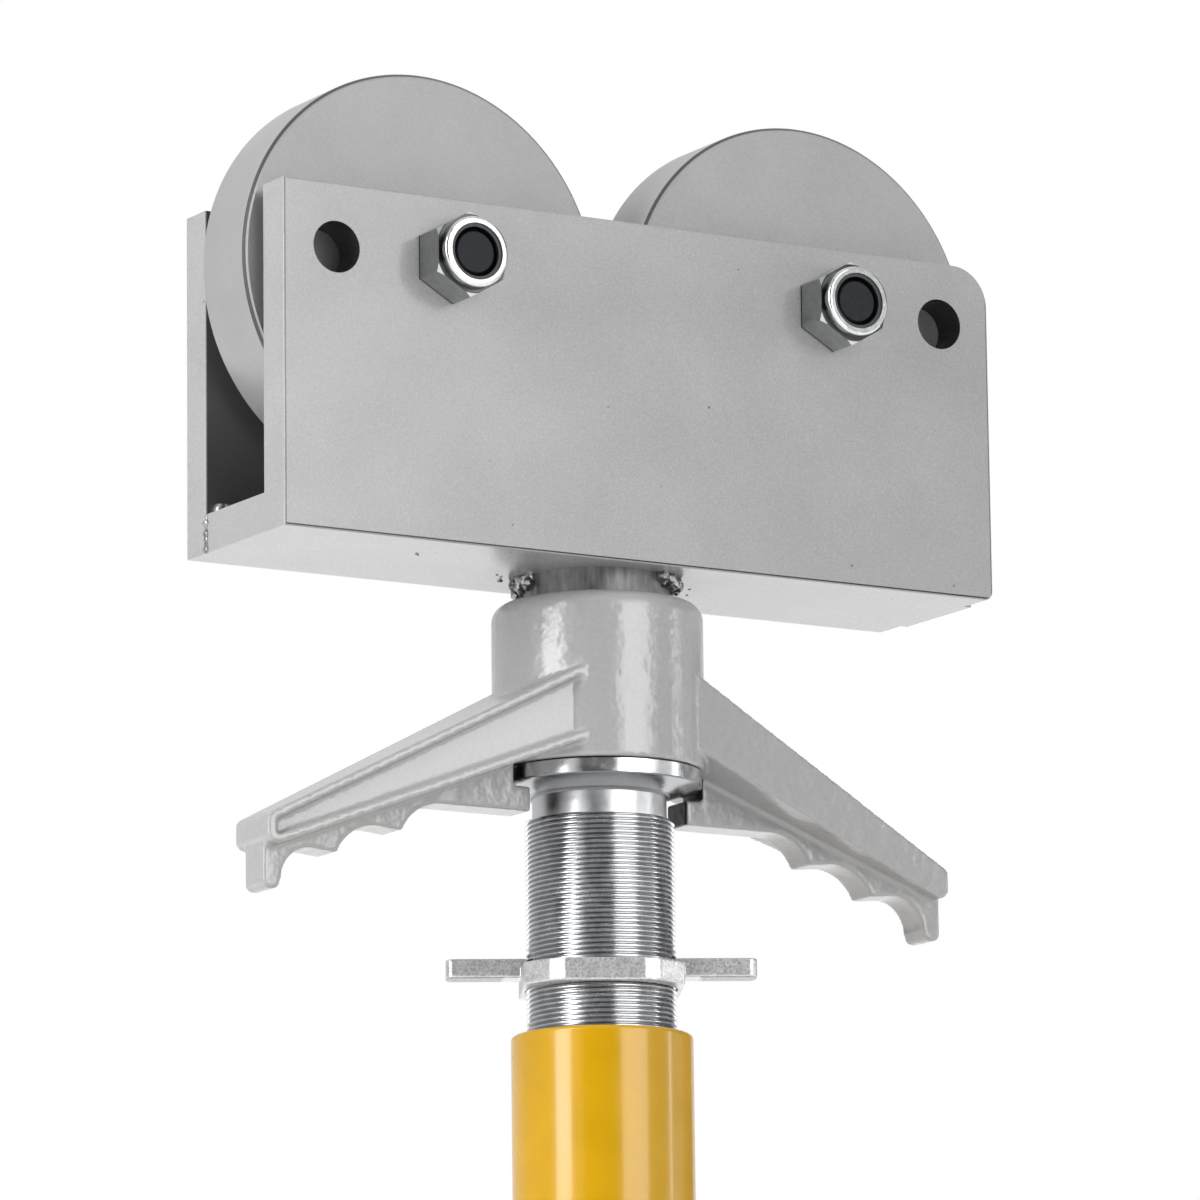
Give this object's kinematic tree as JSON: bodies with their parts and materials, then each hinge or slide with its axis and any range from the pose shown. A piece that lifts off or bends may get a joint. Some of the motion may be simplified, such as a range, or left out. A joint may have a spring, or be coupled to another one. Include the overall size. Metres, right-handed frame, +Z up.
{
  "type": "pipe roller support",
  "caption": "Pipe roller support: a swivelling steel channel with side-by-side rollers, on a hand-turned screw jack with a lock ring in a yellow post tube.",
  "frame": {"origin": "the centre of the post tube's lower end, on the post's axis", "axes": "+Z up the post, +X along the roller frame from the left wheel to the right wheel, -Y towards the side with the lock nuts"},
  "size_m": [0.2726, 0.093, 0.543],
  "materials": {
    "yellow_paint": "satin",
    "bare_steel": "satin",
    "screw_steel": "satin",
    "cast_iron": "matte",
    "frame_steel": "matte",
    "wheel_steel": "satin",
    "weld_bead": "matte",
    "bush_brass": "satin",
    "plated_steel": "satin",
    "black_steel": "satin",
    "nylon": "matte"
  },
  "bodies": {
    "post": {"outer_tube": "yellow_paint", "tube_nut": "bare_steel"},
    "carrier": {"thrust_washer": "bare_steel"},
    "screw": {"jack_screw": "screw_steel", "handle_casting": "cast_iron", "handle_pin": "bare_steel"},
    "ring": {"lock_ring": "cast_iron"},
    "head": {"swivel_stem": "frame_steel", "retaining_ring": "bare_steel", "stem_weld": "weld_bead", "base_plate": "frame_steel", "front_side_plate": "frame_steel", "rear_side_plate": "frame_steel", "frame_welds": "weld_bead", "spacer_washers": "plated_steel", "axle_bolt_left": "black_steel", "axle_bolt_right": "black_steel", "head_washers": "plated_steel", "lock_nuts": "plated_steel", "nut_inserts": "nylon"},
    "wheel_left_body": {"wheel_left": "wheel_steel", "wheel_bush_left": "bush_brass"},
    "wheel_right_body": {"wheel_right": "wheel_steel", "wheel_bush_right": "bush_brass"}
  },
  "joints": [
    {"name": "lift", "type": "slide", "parent": "post", "child": "carrier", "axis": [0, 0, 1], "range_m": [-0.005, 0.075]},
    {"name": "screw_turn", "type": "hinge", "parent": "carrier", "child": "screw", "pos_m": [0, 0, 0.3751], "axis": [0, 0, 1], "range_deg": [-1133, 17007]},
    {"name": "ring_travel", "type": "slide", "parent": "screw", "child": "ring", "axis": [0, 0, 1], "range_m": [-0.008, 0.04]},
    {"name": "swivel", "type": "hinge", "parent": "carrier", "child": "head", "pos_m": [0, 0, 0.3875], "axis": [0, 0, 1], "continuous": true},
    {"name": "wheel_left_spin", "type": "hinge", "parent": "head", "child": "wheel_left_body", "pos_m": [-0.0713, 0, 0.478], "axis": [0, 1, 0], "continuous": true},
    {"name": "wheel_right_spin", "type": "hinge", "parent": "head", "child": "wheel_right_body", "pos_m": [0.0713, 0, 0.478], "axis": [0, 1, 0], "continuous": true}
  ],
  "couplings": [
    {"joint": "lift", "follows": "screw_turn", "m_per_rad": 0.00025266}
  ]
}
